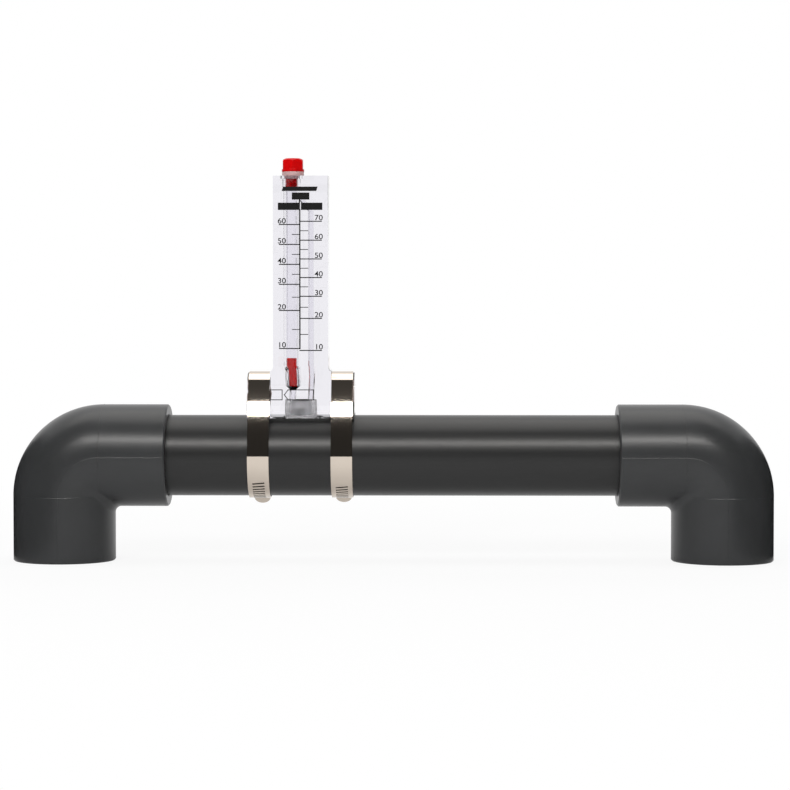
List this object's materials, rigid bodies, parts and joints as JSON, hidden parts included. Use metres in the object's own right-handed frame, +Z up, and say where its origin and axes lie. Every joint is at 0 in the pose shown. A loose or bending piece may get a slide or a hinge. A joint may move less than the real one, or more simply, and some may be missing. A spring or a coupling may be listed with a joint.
{
  "type": "inline variable area flow meter",
  "caption": "Inline flow meter: a clear float tube block with a red float and cap, held by worm-drive clamps on a grey plastic pipe with a socket elbow at each end.",
  "frame": {"origin": "on the ground, midway between the axes of the two elbows' legs, under the pipe's axis", "axes": "+X along the pipe towards the inlet elbow, -Y towards the graduated face's viewer, +Z up"},
  "size_m": [0.455, 0.0643, 0.2403],
  "materials": {
    "pvc_pipe": "satin, extruded",
    "pvc_fitting": "semi-matte, moulded",
    "clear_acrylic": "polished, clear",
    "frosted_acrylic": "machined, frosted",
    "black_rubber": "matt",
    "red_plastic": "gloss",
    "pale_seal": "translucent",
    "stainless": "rolled, bright",
    "screw_steel": "turned"
  },
  "bodies": {
    "root": {"pipe": "pvc_pipe", "elbow_inlet": "pvc_fitting", "elbow_outlet": "pvc_fitting", "meter_block": "clear_acrylic", "saddle_gasket": "black_rubber", "pitot_probe": "frosted_acrylic", "probe_o_ring": "black_rubber", "port_gasket": "black_rubber", "clamp_band_left": "stainless", "clamp_saddle_left": "stainless", "clamp_housing_left": "stainless", "clamp_band_right": "stainless", "clamp_saddle_right": "stainless", "clamp_housing_right": "stainless"},
    "float": {"float": "red_plastic"},
    "cap_seal": {"cap_seal": "pale_seal"},
    "cap": {"cap": "red_plastic"},
    "clamp_screw_left": {"clamp_screw_left": "screw_steel"},
    "clamp_screw_right": {"clamp_screw_right": "screw_steel"}
  },
  "joints": [
    {"name": "float_rise", "type": "slide", "parent": "root", "child": "float", "axis": [0, 0, 1], "range_m": [0, 0.0997]},
    {"name": "cap_lift", "type": "slide", "parent": "root", "child": "cap_seal", "axis": [0, 0, 1], "range_m": [0, 0.005]},
    {"name": "cap_turn", "type": "hinge", "parent": "cap_seal", "child": "cap", "pos_m": [-0.0596, 0, 0.23], "axis": [0, 0, 1], "range_deg": [0, 1440]},
    {"name": "clamp_screw_left_turn", "type": "hinge", "parent": "root", "child": "clamp_screw_left", "pos_m": [-0.07925, 0.02155, 0.04157], "axis": [0, 0.7431, 0.6691], "continuous": true},
    {"name": "clamp_screw_right_turn", "type": "hinge", "parent": "root", "child": "clamp_screw_right", "pos_m": [-0.02995, 0.02211, 0.04205], "axis": [0, 0.7314, 0.682], "continuous": true}
  ],
  "couplings": [
    {"joint": "cap_turn", "follows": "cap_lift", "rad_per_m": 5026.5}
  ]
}
